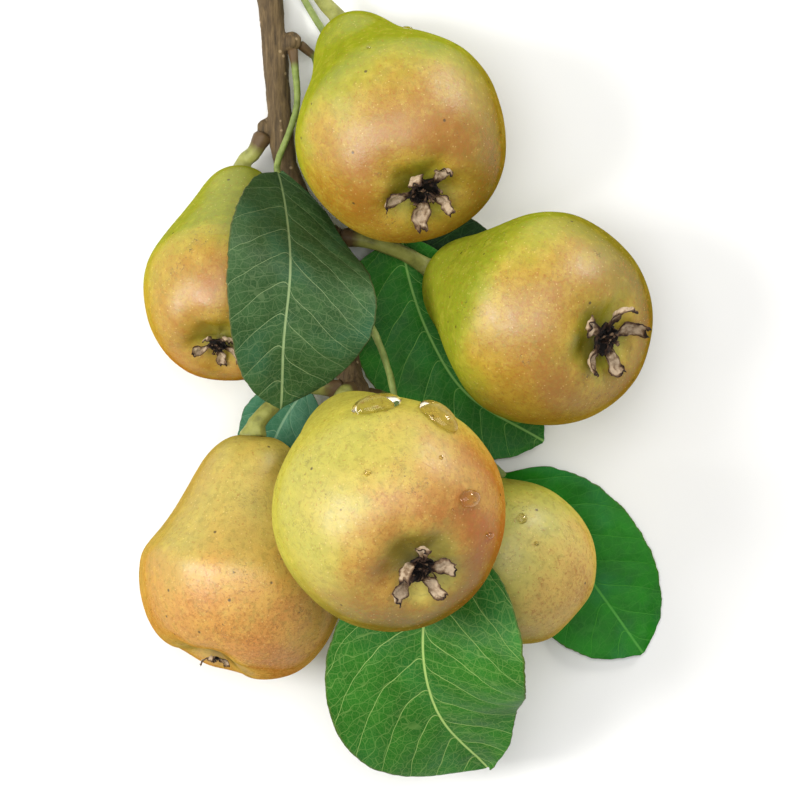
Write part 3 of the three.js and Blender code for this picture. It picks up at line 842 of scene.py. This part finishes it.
def barkMaterial(look):  # young bark: matt, lengthwise furrows, pale corky pores; the cut shows pale wood
    bark = newMaterial("young_pear_bark")
    place = addNode(bark, "ShaderNodeTexCoord").outputs["Object"]
    lengthwise = addNode(bark, "ShaderNodeMapping", {"Scale": (900, 110, 900)}, {"Vector": place})
    furrows = addNode(bark, "ShaderNodeTexNoise", {
        "Scale": 1, "Detail": 5, "Roughness": 0.65}, {"Vector": lengthwise})
    skin = addNode(bark, "ShaderNodeValToRGB", {"stops": [
        (0.28, look["colours"][0]), (0.5, look["colours"][1]), (0.75, look["colours"][2])]}, {0: furrows})
    pores = addNode(bark, "ShaderNodeTexVoronoi", {"Scale": 330}, {"Vector": place})
    poreSpot = addNode(bark, "ShaderNodeMapRange", {
        "interpolation_type": "SMOOTHSTEP", "From Min": 0.1, "From Max": 0.2, "To Min": 0.7, "To Max": 0},
        {0: pores})
    withPores = addNode(bark, "ShaderNodeMix", {"data_type": "RGBA", 7: "a8916f"}, {0: poreSpot, 6: skin})
    cut = addNode(bark, "ShaderNodeAttribute", {"attribute_name": "cut"}).outputs["Fac"]
    rings = addNode(bark, "ShaderNodeAttribute", {"attribute_name": "ring"}).outputs["Fac"]
    ringWave = addNode(bark, "ShaderNodeMath", {"operation": "PINGPONG", 1: 0.5}, {0: rings})
    wood = addNode(bark, "ShaderNodeValToRGB", {
        "stops": [(0.05, look["wood"][0]), (0.4, look["wood"][1])]}, {0: ringWave})
    colour = addNode(bark, "ShaderNodeMix", {
        "data_type": "RGBA"}, {0: cut, 6: withPores.outputs[2], 7: wood})
    bump = addNode(bark, "ShaderNodeBump", {"Strength": 0.7, "Distance": 0.25 * mm}, {"Height": furrows})
    return finishMaterial(
        bark, {"Roughness": 0.78, "IOR": 1.45}, {"Base Color": colour.outputs[2], "Normal": bump})


def makeTwig(look):
    twig = startCopy("twig", "twig_bark")
    applyModifier(twig, "REMESH", {"mode": "VOXEL", "voxel_size": look["fine"] * mm, "adaptivity": 0})
    applyModifier(twig, "SMOOTH", {"factor": 0.6, "iterations": 6})
    places = points(twig)
    normals = pointNormals(twig)
    ridges = 0.28 * grain(places, 1.5, 51, (1, 9, 1))
    ridges += 0.22 * grain(places, 4.5, 52) + 0.1 * grain(places, 0.9, 53)
    farEnd = places[:, 1].max()
    cutFace = (places[:, 1] > farEnd - 1.6) & (normals[:, 1] > 0.75)
    places = places + normals * (0.1 + ridges * ~cutFace)[:, None]
    movePoints(twig, places)
    centre = places[cutFace].mean(axis=0)
    keepAttribute(twig, "cut", cutFace.astype(float))
    keepAttribute(twig, "ring", np.linalg.norm(places - centre, axis=1) / 0.9)
    return finishPiece(twig, [barkMaterial(look)], "bark", "twig")


makeTwig(twigLook)
print("twig made")


# water drops on three pears and on the lowest leaf

drops = {  # place from the piece's middle, width, length and height in millimetres, and turn in degrees
    "pear_front": [
        (-3.2, 28.6, 14, 8, 3.2, 8), (13.4, 25.6, 13, 8.5, 3.4, -24), (21.4, 4, 5.2, 7, 2.6, 5),
        (-5.6, 11, 2, 2, 1, 0),
        (14, 15, 1.3, 1.3, 0.6, 0), (17, 1, 1.2, 1.2, 0.5, 0), (27, -6, 1.8, 3.4, 1.2, 10),
    ],
    "pear_top": [(2, 27, 3, 2, 0.7, 0), (-9, 20, 1.4, 1.4, 0.5, 0)],
    "pear_lower_right": [(6, 12, 3, 3.4, 1, 0), (1, 16, 2, 2, 0.7, 0), (10, 5, 1.5, 1.5, 0.6, 0)],
    "leaf_bottom": [(2, 22, 2.6, 3.6, 0.8, 10), (-3, 24, 1.4, 1.4, 0.5, 0), (5, 25, 1.2, 1.6, 0.5, 0)],
}


def waterMaterial():  # clear water: smooth, and bends what is behind it
    water = newMaterial("clear_water")
    return finishMaterial(water, {
        "Base Color": "fff4d6", "Roughness": 0.02, "IOR": 1.333, "Transmission Weight": 1.0}, {})


clearWater = waterMaterial()
bpy.ops.object.select_all(action="DESELECT")
bpy.ops.mesh.primitive_uv_sphere_add(segments=28, ring_count=16, radius=0.5)
bead = bpy.context.object
beadPlaces = points(bead) * mm
beadPlaces[:, 2] = np.where(beadPlaces[:, 2] < 0, beadPlaces[:, 2] * 0.35, beadPlaces[:, 2] * 2)
movePoints(bead, beadPlaces / mm)
for name, beads in drops.items():
    holder = pearPieces.get(name) or leafPieces[name]
    corners = points(holder)
    middle = (corners.max(axis=0) + corners.min(axis=0)) / 2
    parts = []
    for x, y, width, length, height, turn in beads:
        start = Vector((middle[0] + x, middle[1] + y, 300)) * mm
        place, normal = holder.ray_cast(start, Vector((0, 0, -1)))[1:3]
        stand = standOn(place, normal)
        size = Matrix.Diagonal((width * mm, length * mm, height * mm, 1))
        parts.append(copyOf(bead, stand @ Matrix.Rotation(math.radians(turn), 4, "Z") @ size))
    finishPiece(joinPieces(parts, name + "_water"), [clearWater], None)
bpy.data.objects.remove(bead)
print("water drops made")


# table, light and sky

lights = {  # metres and watts
    "window": {"place": (-0.84, -0.03, 0.78), "size": 0.42, "power": 10, "colour": "fffefb"},
    "above": {"place": (-0.08, 0.12, 1.3), "size": 1.0, "power": 10.5, "colour": "ffffff"},
    "second": {"place": (0.64, 0.7, 0.32), "size": 0.26, "power": 5, "colour": "fffdf8"},
}
for name, light in lights.items():
    bpy.ops.object.light_add(type="AREA", location=light["place"])
    lamp = bpy.context.object
    lamp.name = name
    lamp.data.size = light["size"]
    lamp.data.energy = light["power"]
    lamp.data.color = linear(light["colour"])[:3]
    lamp.rotation_euler = (Vector((0, 0, 0)) - Vector(light["place"])).to_track_quat("-Z", "Y").to_euler()

bpy.ops.mesh.primitive_plane_add(size=8, location=(0, 0, 0))
table = bpy.context.object
table.name = "pale_table"
paper = newMaterial("matt_white_table")
finishMaterial(paper, {"Base Color": "f5f5f4", "Roughness": 0.9}, {})
table.data.materials.append(paper)

sky = bpy.data.worlds.new("studio")
sky.use_nodes = True
sky.node_tree.nodes["Background"].inputs["Color"].default_value = linear("ffffff")
sky.node_tree.nodes["Background"].inputs["Strength"].default_value = 0.34
bpy.context.scene.world = sky
bpy.context.scene.view_settings.view_transform = "Standard"
print("stage set")
